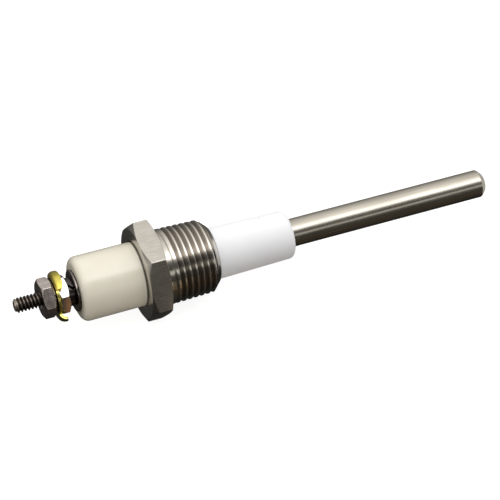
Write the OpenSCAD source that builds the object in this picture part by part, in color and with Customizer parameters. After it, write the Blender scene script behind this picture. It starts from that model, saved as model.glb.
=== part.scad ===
// Flame sensing probe: a plain rod held on a long stem through two ceramic insulators, in a
// threaded gland with a hexagon. Millimetres. The axis is X, with the rod's tip towards +X and the
// wiring terminal towards -X. The origin is on the axis, at the hexagon's face on the thread side.
// The stem is in tension: it pulls the rod and the inner insulator against one side of the gland's
// web, and the outer insulator against the other side.

/* [Gland] */
// Hexagon, across its flats
hex_af = 20.64; // [19:0.01:25]
// Hexagon, along the axis
hex_t = 4.76; // [4:0.01:8]
// Depth of the chamfer at the hexagon's corners
hex_chamfer = 0.7; // [0.2:0.05:1.2]
// Plain neck between the hexagon and the thread, diameter
neck_d = 17; // [15.5:0.05:18]
// Plain neck, length with its run-out groove
neck_l = 2.1; // [1.2:0.1:4]
// Width of the thread's run-out groove
groove_w = 0.45; // [0.2:0.05:0.8]
// Depth of the run-out groove
groove_depth = 0.55; // [0.2:0.05:0.8]
// Web between the two insulators, thickness
web_t = 3.6; // [2:0.1:6]
// Counterbore depth for the outer insulator
seat_depth = 3.06; // [2:0.01:3.5]

/* [Pipe thread] */
// Major diameter where the thread starts
thread_d = 17.1; // [16:0.01:18.5]
// Threaded length, with the chamfer
thread_l = 10.6; // [8:0.1:16]
// Distance between turns
thread_pitch = 1.411; // [1:0.001:2]
// Depth from crest to root
thread_depth = 1.05; // [0.6:0.01:1.2]
// Wall between the roots and the bore at the gland's mouth
mouth_wall = 0.995; // [0.7:0.005:2]
// Flat ring round the bore at the gland's mouth, width
mouth_land = 0.3; // [0.1:0.05:0.6]
// Flat on each crest, along the axis
crest_flat = 0.16; // [0.05:0.01:0.3]
// Change of diameter for each millimetre of length
thread_taper = 0.0625; // [0:0.0005:0.07]
// Straight steps in one turn of the thread
thread_steps = 36; // [24:4:48]

/* [Outer insulator] */
// Diameter at the gland
outer_d = 14.5; // [12:0.01:17.5]
// Growth of the diameter from the gland to the terminal end
outer_flare = 0.1; // [0:0.05:1]
// Length that stands out of the gland
outer_l = 14.34; // [8:0.01:30]
// Fillet round the terminal end
outer_fillet = 1.55; // [0.5:0.05:2.5]
// Spigot that passes through the web, diameter
spigot_d = 8.2; // [6:0.1:8.6]
// Spigot's reach past the web
spigot_reach = 4.4; // [2:0.1:8]

/* [Inner insulator] */
// Fall of the radius for each millimetre towards the nose
inner_taper = 0.0217; // [0:0.0001:0.03]
// Length that stands out of the gland
inner_l = 18.4; // [10:0.1:40]
// Fillet round the nose
nose_fillet = 1.4; // [0.3:0.05:1.8]
// Depth that the rod enters the nose
rod_seat_depth = 14.6; // [8:0.1:18]

/* [Rod] */
// Rod diameter
rod_d = 6.35; // [5:0.01:7.7]
// Length that stands out of the nose
rod_l = 47.9; // [20:0.1:200]
// Chamfer at the tip
rod_chamfer = 1.1; // [0.2:0.05:1.5]
// Step down to the shank that fits in the nose, on the radius
rod_step = 0.175; // [0.05:0.005:0.4]
// Tapped hole's depth past the stem's end
tapped_spare = 2; // [0.5:0.5:4]

/* [Stem and hardware] */
// Stem, diameter over the thread
stem_d = 3.43; // [2.8:0.01:4.2]
// Length of stem past the terminal nut
stem_free = 5.86; // [3:0.01:12]
// Chamfer at the stem's end
stem_chamfer = 0.5; // [0.2:0.05:0.8]
// Distance that the stem screws into the rod
stem_grip = 10; // [6:0.5:12]
// Nuts, across their flats
nut_af = 7.94; // [6.6:0.01:9.6]
// Terminal nut, thickness without its washer face
nut_t = 2.65; // [2:0.01:3.5]
// Washer face of the terminal nut, thickness
boss_t = 0.25; // [0.1:0.01:0.5]
// Clamp nut, thickness
clamp_t = 2.25; // [2:0.01:3.5]
// Depth of the chamfer at the nuts' corners
nut_chamfer = 0.4; // [0.1:0.05:0.6]
// Turn of the terminal nut's corners
nut_turn = 41.5; // [0:0.5:60]
// Turn of the clamp nut's corners
clamp_turn = 19.5; // [0:0.5:60]
// Flat washer diameter
washer_d = 9.53; // [8:0.01:11]
// Flat washer thickness
washer_t = 0.55; // [0.4:0.01:1.3]
// Spring washer diameter
lock_d = 6.35; // [5.5:0.01:7]
// Spring washer thickness
lock_t = 1.56; // [0.5:0.01:1.8]
// Gap where the spring washer is split
lock_gap = 0.7; // [0.3:0.05:1.2]
// Turn of the spring washer's split
lock_turn = 111; // [0:1:360]

/* [Wire cup] */
// Brass sheet thickness
cup_t = 0.75; // [0.4:0.01:1]
// Width between the lugs
cup_d = 9.1; // [8:0.01:11]
// Height of the lugs, with the sheet
lug_h = 2.1; // [1.2:0.01:2.6]
// Arc of the first lug
lug_arc = 86; // [40:1:100]
// Arc of the second lug
second_lug_arc = 62; // [40:1:100]
// Turn of the middle of the first lug
lug_turn = 69.5; // [0:0.5:360]
// Turn from the first lug's middle to the second's
second_lug_turn = 154; // [120:1:200]
// How far the loose cup hangs off the axis, away from the first lug
cup_drop = 0.1; // [0:0.01:0.15]

/* [Gaskets] */
// Thickness of the two gaskets on the web
web_gasket_t = 0.5; // [0.3:0.05:0.8]
// Thickness of the gasket behind the rod
rod_gasket_t = 0.5; // [0.3:0.05:0.8]
// Thickness of the gasket under the flat washer
head_gasket_t = 0.1; // [0.1:0.05:0.5]

/* [Clearances] */
// Round the outer insulator in its counterbore, on the radius
seat_gap = 0.17; // [0.1:0.01:0.4]
// Round the inner insulator's back end in the gland, on the radius
bore_gap = 0.1; // [0.05:0.01:0.4]
// Round the spigot, on the radius
spigot_gap = 0.2; // [0.1:0.01:0.4]
// Round the stem in both insulators, on the radius
stem_gap = 0.24; // [0.1:0.01:0.4]
// Round the rod's shank in the nose, on the radius
shank_gap = 0.15; // [0.05:0.01:0.3]
// Between the rod's shoulder and the nose
shoulder_gap = 0.1; // [0.05:0.01:0.5]
// Between a tightened thread and its hole, on the radius
grip_gap = 0.02; // [0.01:0.01:0.05]
// Between the stem and the terminal nut, on the radius
turn_gap = 0.05; // [0.02:0.01:0.1]
// Between the clamp nut's corners and the first lug
first_lug_gap = 0.2; // [0.15:0.01:1]
// Between the clamp nut's corners and the second lug
second_lug_gap = 0.8; // [0.15:0.01:1]
// Round the stem in the washers, on the radius
washer_gap = 0.2; // [0.1:0.01:0.3]
// Past the end of the spigot and of the stem
end_gap = 0.6; // [0.3:0.1:1.5]

/* [Hidden] */
$fn = 96;

// How far a cutting shape runs past the face that it cuts
over = 1;
// How far inside the flats the turned faces of a hexagon end
face_margin = 0.05;
// How much less than the flat washer's radius the gasket under it has
gasket_inset = 0.2;
// How far inside the flats a nut's washer face ends
boss_inset = 0.35;
// Half of the angle between a thread's flanks
flank_angle = 30;
// Largest share of the pitch that half a thread's root may take
root_share = 0.48;
// Turns by which the screw surface starts early, and by which it is longer than the thread
lead_turns = 1.5;
spare_turns = 2;
// How far a hexagon's end cones reach, against the height of its corners
cone_reach = 1.5;

// Places along the axis, from the middle outwards to the rod's tip
thread_start = neck_l;
mouth_x = neck_l + thread_l;
seat_x = seat_depth - hex_t;
web_x = seat_x + web_t;
inner_x = web_x + web_gasket_t;
nose_x = mouth_x + inner_l;
rod_seat_x = nose_x - rod_seat_depth;
rod_x = rod_seat_x + rod_gasket_t;
shoulder_x = nose_x + shoulder_gap;
tip_x = nose_x + rod_l;
spigot_end_x = web_x + spigot_reach;
socket_end_x = spigot_end_x + end_gap;
stem_end_x = rod_x + stem_grip;

// Places along the axis, from the middle outwards to the terminal
outer_x = seat_x - web_gasket_t;
head_x = -hex_t - outer_l;
flat_x = head_x - head_gasket_t;
lock_x = flat_x - washer_t;
clamp_x = lock_x - lock_t;
cup_x = clamp_x - clamp_t;
sheet_x = cup_x - cup_t;
nut_x = sheet_x - boss_t - nut_t;
stem_tip_x = nut_x - stem_free;

// Radii of the gland's holes and of what fits in them
seat_r = outer_d / 2 + seat_gap;
web_bore_r = spigot_d / 2 + spigot_gap;
root_end_r = thread_d / 2 - thread_taper / 2 * thread_l - thread_depth;
gland_bore_r = root_end_r - mouth_wall;
land_r = gland_bore_r + mouth_land;
inner_back_r = gland_bore_r - bore_gap;
nose_r = inner_back_r - inner_taper * (nose_x - inner_x);
stem_bore_r = stem_d / 2 + stem_gap;
shank_r = rod_d / 2 - rod_step;
shank_bore_r = shank_r + shank_gap;

// Bore of the washers, and the radii inside the wire cup's two lugs, which clear the clamp nut
washer_bore_r = stem_d / 2 + washer_gap;
nut_corner_r = nut_af / 2 / cos(30);
lug_radii = [
    nut_corner_r + first_lug_gap + cup_drop,
    nut_corner_r + second_lug_gap - cup_drop
];

// Lets local z run along the part's X, local x along Y and local y along Z
module on_axis(x = 0) {
    translate([x, 0, 0]) rotate([90, 0, 90]) children();
}

// A solid of revolution about the axis, from [place along the axis, radius] points
module turned(profile) {
    on_axis() rotate_extrude() polygon([for (p = profile) [p[1], p[0]]]);
}

// A plain round bore from one place along the axis to another
module bore(x1, x2, r) {
    on_axis(x1) cylinder(h = x2 - x1, r = r);
}

// A flat ring
module ring(x, t, outer_r, inner_r) {
    on_axis(x) difference() {
        cylinder(h = t, r = outer_r);
        translate([0, 0, -over]) cylinder(h = t + 2 * over, r = inner_r);
    }
}

// A hexagonal prism whose corners are turned off at both ends
module hexagon(x, t, af, chamfer, turn) {
    corner_r = af / 2 / cos(30);
    // Each end's cone runs from a circle just inside the flats out past the corners
    face_r = af / 2 - face_margin;
    run = (corner_r - face_r) * cone_reach;
    cone = run * chamfer / (corner_r - face_r);
    intersection() {
        on_axis(x) rotate([0, 0, turn]) cylinder(h = t, r = corner_r, $fn = 6);
        turned([
            [x, 0], [x, face_r], [x + cone, face_r + run],
            [x + t - cone, face_r + run], [x + t, face_r], [x + t, 0]
        ]);
    }
}

// Quarter-round points: centre, radius and the angles that the arc runs between
function arc(cx, cr, r, a1, a2, n = 12) = [
    for (i = [0:n]) let (a = a1 + (a2 - a1) * i / n) [cx + r * cos(a), cr + r * sin(a)]
];

// One turn of the thread's profile: root, rising flank, crest, falling flank. Each entry is
// [share of the pitch, share of the depth].
function thread_profile() = let (crest = crest_flat / 2 / thread_pitch)
    let (root = min(root_share, crest + thread_depth * tan(flank_angle) / thread_pitch))
    [[0, 0], [0.5 - root, 0], [0.5 - crest, 1], [0.5 + crest, 1], [0.5 + root, 0]];

// A tapered screw surface as one closed solid, longer than it needs to be at both ends. Its points
// run round in steps and each turn's end meets the next turn's start.
module screw(x1, x2) {
    profile = thread_profile();
    k = len(profile);
    turns = ceil((x2 - x1) / thread_pitch) + spare_turns;
    x0 = x1 - lead_turns * thread_pitch;
    count = turns * k;
    function place(i, j) = x0 + thread_pitch * (floor(j / k) + profile[j % k][0] + i / thread_steps);
    function crest(x) = thread_d / 2 - thread_taper / 2 * (x - thread_start);
    function radius(i, j) = crest(place(i, j)) - thread_depth * (1 - profile[j % k][1]);
    function point(i, j) = let (a = 360 * i / thread_steps, r = radius(i, j))
        [r * cos(a), r * sin(a), place(i, j)];
    points = concat(
        [for (j = [0:count]) for (i = [0:thread_steps - 1]) point(i, j)],
        [[0, 0, place(0, 0)], [0, 0, place(0, count)]]
    );
    low = len(points) - 2;
    high = len(points) - 1;
    function at(i, j) = i < thread_steps ? j * thread_steps + i : (j + k) * thread_steps;
    // The seam joins the last step of one turn to the first step of the next, k rows further on
    wall = [
        for (j = [0:count - 1]) for (i = [0:thread_steps - 1])
            if (i < thread_steps - 1 || j + k < count)
                each [[at(i + 1, j + 1), at(i + 1, j), at(i, j)],
                      [at(i, j + 1), at(i + 1, j + 1), at(i, j)]]
    ];
    // Each end is a fan from the axis, closed along the column where the seam leaves off
    low_fan = concat(
        [for (i = [0:thread_steps - 1]) [at(i, 0), at(i + 1, 0), low]],
        [for (j = [0:k - 1]) [at(0, j + 1), at(0, j), low]]
    );
    last = thread_steps - 1;
    high_fan = concat(
        [for (i = [0:last - 1]) [at(i + 1, count), at(i, count), high]],
        [for (j = [count - k:count - 1]) [at(last, j), at(last, j + 1), high]],
        [[at(0, count), at(last, count - k), high]]
    );
    on_axis() polyhedron(points, concat(wall, low_fan, high_fan));
}

module gland_body() {
    color([0.62, 0.60, 0.57]) difference() {
        union() {
            hexagon(-hex_t, hex_t, hex_af, hex_chamfer, 0);
            turned([
                [-over, 0], [-over, neck_d / 2], [neck_l - groove_w, neck_d / 2],
                [neck_l - groove_w, neck_d / 2 - groove_depth],
                [neck_l + groove_w, neck_d / 2 - groove_depth], [neck_l + groove_w, 0]
            ]);
            intersection() {
                screw(thread_start, mouth_x);
                turned([
                    [thread_start, 0], [thread_start, thread_d],
                    [mouth_x - (thread_d - land_r), thread_d], [mouth_x, land_r], [mouth_x, 0]
                ]);
            }
        }
        bore(-hex_t - over, seat_x, seat_r);
        bore(seat_x - over, web_x + over, web_bore_r);
        bore(web_x, mouth_x + over, gland_bore_r);
    }
}

module upper_gasket() {
    color([0.25, 0.24, 0.23]) ring(outer_x, web_gasket_t, outer_d / 2, web_bore_r);
}

module outer_insulator() {
    end_r = (outer_d + outer_flare) / 2;
    f = outer_fillet;
    color([0.93, 0.91, 0.84]) difference() {
        turned(concat(
            [[head_x, 0]],
            arc(head_x + f, end_r - f, f, 180, 90),
            [[-hex_t, outer_d / 2], [outer_x, outer_d / 2], [outer_x, spigot_d / 2],
             [spigot_end_x, spigot_d / 2], [spigot_end_x, 0]]
        ));
        bore(head_x - over, spigot_end_x + over, stem_bore_r);
    }
}

module lower_gasket() {
    color([0.25, 0.24, 0.23]) ring(web_x, web_gasket_t, inner_back_r, web_bore_r);
}

module inner_insulator() {
    f = nose_fillet;
    color([0.95, 0.95, 0.95]) difference() {
        turned(concat(
            [[inner_x, 0], [inner_x, inner_back_r]],
            arc(nose_x - f, nose_r - f, f, 90, 0),
            [[nose_x, 0]]
        ));
        bore(inner_x - over, socket_end_x, web_bore_r);
        bore(socket_end_x - over, rod_seat_x + over, stem_bore_r);
        bore(rod_seat_x, nose_x + over, shank_bore_r);
    }
}

module rod_gasket() {
    color([0.25, 0.24, 0.23]) ring(rod_seat_x, rod_gasket_t, shank_r, stem_bore_r);
}

module centre_stem() {
    r = stem_d / 2;
    c = stem_chamfer;
    color([0.30, 0.27, 0.25]) turned([
        [stem_tip_x, 0], [stem_tip_x, r - c], [stem_tip_x + c, r],
        [stem_end_x - c, r], [stem_end_x, r - c], [stem_end_x, 0]
    ]);
}

module sensing_rod() {
    r = rod_d / 2;
    color([0.60, 0.57, 0.52]) difference() {
        turned([
            [rod_x, 0], [rod_x, shank_r], [shoulder_x, shank_r], [shoulder_x, r],
            [tip_x - rod_chamfer, r], [tip_x, r - rod_chamfer], [tip_x, 0]
        ]);
        bore(rod_x - over, stem_end_x + tapped_spare, stem_d / 2 + grip_gap);
    }
}

module head_gasket() {
    color([0.16, 0.15, 0.15])
        ring(flat_x, head_gasket_t, washer_d / 2 - gasket_inset, washer_bore_r);
}

module flat_washer() {
    color([0.22, 0.21, 0.22]) ring(lock_x, washer_t, washer_d / 2, washer_bore_r);
}

module lock_washer() {
    color([0.14, 0.14, 0.15]) difference() {
        ring(clamp_x, lock_t, lock_d / 2, stem_d / 2 + washer_gap / 2);
        on_axis(clamp_x - over) rotate([0, 0, lock_turn])
            translate([0, -lock_gap / 2, 0]) cube([lock_d, lock_gap, lock_t + 2 * over]);
    }
}

// A chamfered nut whose bore is the stem's diameter and the gap, with a washer face if it has one
module nut(x, t, turn, gap, boss = 0) {
    difference() {
        union() {
            hexagon(x, t, nut_af, nut_chamfer, turn);
            if (boss > 0) on_axis(x + t - over)
                cylinder(h = boss + over, r = nut_af / 2 - boss_inset);
        }
        bore(x - over, x + t + boss + over, stem_d / 2 + gap);
    }
}

module clamp_nut() {
    color([0.75, 0.70, 0.66]) nut(cup_x, clamp_t, clamp_turn, grip_gap);
}

// A lug of the wire cup: an arc of the sheet that runs out from the stem and turns up at its edge
module lug(inner_r, arc_deg) {
    rotate([0, 0, -arc_deg / 2]) rotate_extrude(angle = arc_deg) polygon([
        [stem_d / 2, 0], [inner_r, 0], [inner_r + cup_t, cup_t], [inner_r + cup_t, lug_h],
        [inner_r, lug_h], [inner_r, cup_t], [stem_d / 2, cup_t]
    ]);
}

// A round sheet with two lugs turned up towards the gland
module wire_cup_washer() {
    color([0.83, 0.70, 0.25]) on_axis(sheet_x) rotate([0, 0, lug_turn])
        translate([-cup_drop, 0, 0]) difference() {
            union() {
                cylinder(h = cup_t, r = cup_d / 2);
                lug(lug_radii[0], lug_arc);
                rotate([0, 0, second_lug_turn]) lug(lug_radii[1], second_lug_arc);
            }
            translate([0, 0, -over]) cylinder(h = cup_t + 2 * over, r = washer_bore_r);
        }
}

module terminal_nut() {
    color([0.45, 0.40, 0.40]) nut(nut_x, nut_t, nut_turn, turn_gap, boss_t);
}

gland_body();
upper_gasket();
outer_insulator();
lower_gasket();
inner_insulator();
rod_gasket();
centre_stem();
sensing_rod();
head_gasket();
flat_washer();
lock_washer();
clamp_nut();
wire_cup_washer();
terminal_nut();
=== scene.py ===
import math

import bpy
import numpy as np
from mathutils import Matrix, Vector


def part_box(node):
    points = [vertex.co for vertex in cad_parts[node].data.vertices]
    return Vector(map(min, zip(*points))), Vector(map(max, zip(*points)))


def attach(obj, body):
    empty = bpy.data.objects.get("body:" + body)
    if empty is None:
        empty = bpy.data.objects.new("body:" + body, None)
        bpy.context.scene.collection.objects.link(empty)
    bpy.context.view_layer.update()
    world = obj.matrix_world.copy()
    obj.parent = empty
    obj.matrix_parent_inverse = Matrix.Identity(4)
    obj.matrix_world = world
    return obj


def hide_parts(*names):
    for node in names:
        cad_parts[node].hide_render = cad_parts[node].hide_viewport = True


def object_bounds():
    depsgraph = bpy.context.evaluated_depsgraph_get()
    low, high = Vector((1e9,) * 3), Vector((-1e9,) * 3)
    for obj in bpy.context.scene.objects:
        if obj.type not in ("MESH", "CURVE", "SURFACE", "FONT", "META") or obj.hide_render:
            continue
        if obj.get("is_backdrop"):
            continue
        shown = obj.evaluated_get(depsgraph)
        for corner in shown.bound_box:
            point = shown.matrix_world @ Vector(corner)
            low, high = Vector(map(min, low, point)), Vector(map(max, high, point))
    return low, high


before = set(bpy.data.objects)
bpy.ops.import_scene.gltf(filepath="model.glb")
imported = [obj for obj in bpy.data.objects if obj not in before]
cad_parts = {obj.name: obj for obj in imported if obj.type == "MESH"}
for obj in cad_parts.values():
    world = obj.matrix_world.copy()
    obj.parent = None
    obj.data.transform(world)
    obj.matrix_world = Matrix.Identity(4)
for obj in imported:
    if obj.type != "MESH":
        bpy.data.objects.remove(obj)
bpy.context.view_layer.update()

MM = 0.001

# ---------------------------------------------------------------- sizes, in metres

PIPE_PITCH = 1.411 * MM
PIPE_DEPTH = 0.78 * MM
PIPE_GROOVE = 0.79 * PIPE_PITCH  # place of a groove at the angle zero
PIPE_TAPER = 1 / 32            # fall of the radius for each unit of length
NECK_LENGTH = 2.1 * MM
STUD_PITCH = 0.79375 * MM
STUD_DEPTH = 0.46 * MM
FLANK = math.tan(math.radians(60))

GLAND_LOW, GLAND_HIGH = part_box("gland_body")
OUTER_LOW, OUTER_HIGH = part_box("outer_insulator")
INNER_LOW, INNER_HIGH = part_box("inner_insulator")
STEM_LOW, STEM_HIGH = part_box("centre_stem")
ROD_LOW, ROD_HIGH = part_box("sensing_rod")
FLAT_LOW, FLAT_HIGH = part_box("flat_washer")
LOCK_LOW, LOCK_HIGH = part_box("lock_washer")
CLAMP_LOW, CLAMP_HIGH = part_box("clamp_nut")
NUT_LOW, NUT_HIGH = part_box("terminal_nut")
UPPER_LOW, UPPER_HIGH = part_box("upper_gasket")
LOWER_LOW, LOWER_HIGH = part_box("lower_gasket")

HEX_FLAT = GLAND_HIGH.z                     # from the axis to a flat
WEB_BORE = 4.3 * MM
SEAT_X = UPPER_HIGH.x
WEB_X = LOWER_LOW.x
SEAT_BORE = 7.42 * MM
NECK_RADIUS = 8.5 * MM
MOUTH_X = GLAND_HIGH.x
GLAND_BORE = LOWER_HIGH.z + 0.1 * MM
ENTRY_RADIUS = GLAND_BORE + 0.3 * MM
STUD_RADIUS = STEM_HIGH.z
NUT_FLAT = 3.97 * MM
BOSS = 0.25 * MM                # washer face of the terminal nut
BOSS_RADIUS = 3.62 * MM
STEM_GAP = 0.24 * MM            # air round the stem in both insulators
SPIGOT_RADIUS = 4.1 * MM
SOCKET_DEPTH = 5.0 * MM         # of the inner insulator, from the web
SEAT_DEPTH = 14.6 * MM          # from the sleeve's nose to the rod's seat
NOSE_RADIUS = 5.45 * MM
SHANK_RADIUS = 3.0 * MM         # of the rod inside the sleeve
SHANK_BORE = 3.15 * MM
TAPPED_DEPTH = 12 * MM
TIP_CHAMFER = 1.1 * MM

# ---------------------------------------------------------------- surfaces


def rounded(corners, radii, steps=5):
    """Rounds the corners of a path. Each inner corner is replaced by a circular arc, written as a
    rational quadratic curve whose middle weight is the sine of half the angle between its legs.
    corners is (corner, column, 2) with places along the axis and radii; a loop has no loose ends."""
    corners = np.asarray(corners, float)
    if corners.ndim == 2:
        corners = corners[:, None, :]
    rows = []
    last = len(corners) - 1
    for i, radius in enumerate(radii):
        here = corners[i]
        if radius == 0 or i in (0, last):
            rows.append(here[None])
            continue
        back, ahead = corners[i - 1] - here, corners[i + 1] - here
        lb = np.maximum(np.linalg.norm(back, axis=-1, keepdims=True), 1e-9)
        la = np.maximum(np.linalg.norm(ahead, axis=-1, keepdims=True), 1e-9)
        back, ahead = back / lb, ahead / la
        cosine = np.clip((back * ahead).sum(-1, keepdims=True), -0.9999, 0.9999)
        half = np.arccos(cosine) / 2
        reach = np.minimum(radius / np.tan(half), 0.48 * np.minimum(lb, la))
        weight = np.sin(half)
        s = np.linspace(0, 1, steps)[:, None, None]
        a, b, c = (1 - s) ** 2, 2 * weight * s * (1 - s), s ** 2
        start, end = here + back * reach, here + ahead * reach
        rows.append((a * start + b * here + c * end) / (a + b + c))
    return np.concatenate(rows)


def spin(path, angles):
    """Points of a path turned about the axis: (x, r cos a, r sin a) for each row and each angle."""
    x, r = np.broadcast_arrays(path[..., 0], path[..., 1])
    shape = (len(path), len(angles))
    x, r = np.broadcast_to(x, shape), np.broadcast_to(r, shape)
    return np.stack([x, r * np.cos(angles), r * np.sin(angles)], axis=-1)


def woven(name, points, ring=False, seam=None, values=None, sharp=40):
    """A mesh from a grid of points, rows by columns. Columns close round the axis: the last column
    joins the first, at the row that seam gives. A ring's last row joins its first. Points that
    coincide become one, and the four-sided faces that lose a corner become triangles."""
    rows, columns = points.shape[:2]
    grid = np.arange(rows * columns).reshape(rows, columns)
    match = np.arange(rows) if seam is None else np.asarray(seam)
    grid = np.concatenate([grid, grid[match, :1]], axis=1)
    if ring:
        grid = np.concatenate([grid, grid[:1]], axis=0)
    flat = np.round(points.reshape(-1, 3), 10)
    unique, first, where = np.unique(flat, axis=0, return_index=True, return_inverse=True)
    grid = where.reshape(-1)[grid]
    quads = np.stack([grid[:-1, :-1], grid[:-1, 1:], grid[1:, 1:], grid[1:, :-1]], -1).reshape(-1, 4)
    distinct = np.ones(len(quads), bool)
    for i, j in ((0, 1), (1, 2), (2, 3), (3, 0), (0, 2), (1, 3)):
        distinct &= quads[:, i] != quads[:, j]
    rest = quads[~distinct]
    tris = np.concatenate([rest[:, [0, 1, 2]], rest[:, [0, 2, 3]]])
    keep = (tris[:, 0] != tris[:, 1]) & (tris[:, 1] != tris[:, 2]) & (tris[:, 0] != tris[:, 2])
    tris, quads = tris[keep], quads[distinct]
    mesh = bpy.data.meshes.new(name)
    mesh.vertices.add(len(unique))
    mesh.vertices.foreach_set("co", unique.astype(np.float32).ravel())
    corners = np.concatenate([quads.ravel(), tris.ravel()])
    starts = np.concatenate([np.arange(len(quads)) * 4, len(quads) * 4 + np.arange(len(tris)) * 3])
    mesh.loops.add(len(corners))
    mesh.loops.foreach_set("vertex_index", corners.astype(np.int32))
    mesh.polygons.add(len(starts))
    mesh.polygons.foreach_set("loop_start", starts.astype(np.int32))
    mesh.update(calc_edges=True)
    for key, value in (values or {}).items():
        spread = np.broadcast_to(value, (rows, columns)).reshape(-1)[first]
        mesh.attributes.new(key, "FLOAT", "POINT").data.foreach_set("value", spread.astype(np.float32))
    mesh.validate()
    if signed_volume(mesh) < 0:
        mesh.flip_normals()
    mesh.shade_smooth()
    mesh.set_sharp_from_angle(angle=math.radians(sharp))
    piece = bpy.data.objects.new(name, mesh)
    bpy.context.scene.collection.objects.link(piece)
    return piece


def signed_volume(mesh):
    """Sum over the triangles of the box product of their corners, over six."""
    mesh.calc_loop_triangles()
    co = np.empty(len(mesh.vertices) * 3, np.float32)
    mesh.vertices.foreach_get("co", co)
    tri = np.empty(len(mesh.loop_triangles) * 3, np.int32)
    mesh.loop_triangles.foreach_get("vertices", tri)
    a, b, c = co.reshape(-1, 3).astype(float)[tri.reshape(-1, 3)].transpose(1, 0, 2)
    return (np.cross(a, b) * c).sum() / 6


def even(columns):
    """Angles spread evenly round the axis."""
    return np.arange(columns) * 2 * math.pi / columns


def hexagon_angles(turn, between=44, spread=math.radians(1.0)):
    """Angles round the axis that crowd together at a hexagon's six corners."""
    near = np.linspace(-spread, spread, 9)
    far = np.linspace(spread, math.radians(60) - spread, between + 2)[1:-1]
    sector = np.concatenate([near, far])
    angles = turn + (sector[None] + np.radians(60) * np.arange(6)[:, None]).ravel()
    return np.sort(np.mod(angles, 2 * math.pi))


def hexagon_radius(angles, turn, flat, soft):
    """Distance from the axis to a hexagon's side: the flat's distance over the cosine of the angle
    from the flat's middle, and near a corner the circle of radius soft that touches both flats."""
    corner = np.abs(np.mod(angles - turn + np.radians(30), np.radians(60)) - np.radians(30))
    side = flat / np.cos(np.radians(30) - corner)
    centre = (flat - soft) / math.cos(math.radians(30))
    limit = math.atan(soft * 0.5 / (centre + soft * math.cos(math.radians(30))))
    inside = np.maximum(soft ** 2 - (centre * np.sin(corner)) ** 2, 0)
    arc = centre * np.cos(corner) + np.sqrt(inside)
    return np.where(corner < limit, arc, side)


def soft_min(a, b, width):
    """The smaller of two values, with the change between them rounded over about width."""
    h = np.clip(0.5 + 0.5 * (b - a) / width, 0, 1)
    return b * (1 - h) + a * h - width * h * (1 - h)


def v_groove(distance, floor, root):
    """Radius of a sixty degree groove: the floor's radius and the tangent of sixty degrees times
    the distance from its middle, with the bottom rounded by root."""
    return floor + FLANK * (np.sqrt(distance ** 2 + root ** 2) - root)


# One pitch of rows across a thread, from groove to groove, closer at the root and at the crest
THREAD_ROWS = np.array([0, .02, .045, .09, .16, .24, .32, .38, .415, .44, .47,
                        .5, .53, .56, .585, .62, .68, .76, .84, .91, .955, .98])


def thread_rows(start, end, pitch, phase, angles):
    """Rows that follow a right-hand screw: each row's place is its share of the pitch plus the
    angle's share of a turn, held between start and end. Also gives the distance to the middle of
    the nearest groove, and for each row the row that its end meets after one turn."""
    per = len(THREAD_ROWS)
    turns = int(math.ceil((end - start) / pitch)) + 2
    share = (np.arange(turns)[:, None] + THREAD_ROWS[None]).ravel() - 1
    offset = (phase / pitch) % 1
    first = math.floor(start / pitch - offset)
    free = pitch * (share[:, None] + first + offset + angles[None] / (2 * math.pi))
    place = np.clip(free, start, end)
    groove = pitch * (np.arange(turns).repeat(per)[:, None] - 1 + first + offset
                      + angles[None] / (2 * math.pi))
    distance = place - groove
    distance = distance - pitch * np.round(distance / pitch)
    seam = np.minimum(np.arange(len(share)) + per, len(share) - 1)
    return place, distance, seam


# ---------------------------------------------------------------- shader expressions


class Value:
    """A shader socket in a Python expression. Each operator adds one Math node."""

    def __init__(self, finish, socket):
        self.finish, self.socket = finish, socket

    def _math(self, operation, *terms):
        return self.finish.node("ShaderNodeMath", {"operation": operation}, dict(enumerate(terms)))

    def __add__(self, other):
        return self._math("ADD", self, other)

    def __radd__(self, other):
        return self._math("ADD", other, self)

    def __sub__(self, other):
        return self._math("SUBTRACT", self, other)

    def __rsub__(self, other):
        return self._math("SUBTRACT", other, self)

    def __mul__(self, other):
        return self._math("MULTIPLY", self, other)

    def __rmul__(self, other):
        return self._math("MULTIPLY", other, self)

    def __truediv__(self, other):
        return self._math("DIVIDE", self, other)

    def __rtruediv__(self, other):
        return self._math("DIVIDE", other, self)

    def __pow__(self, other):
        return self._math("POWER", self, other)


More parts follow.
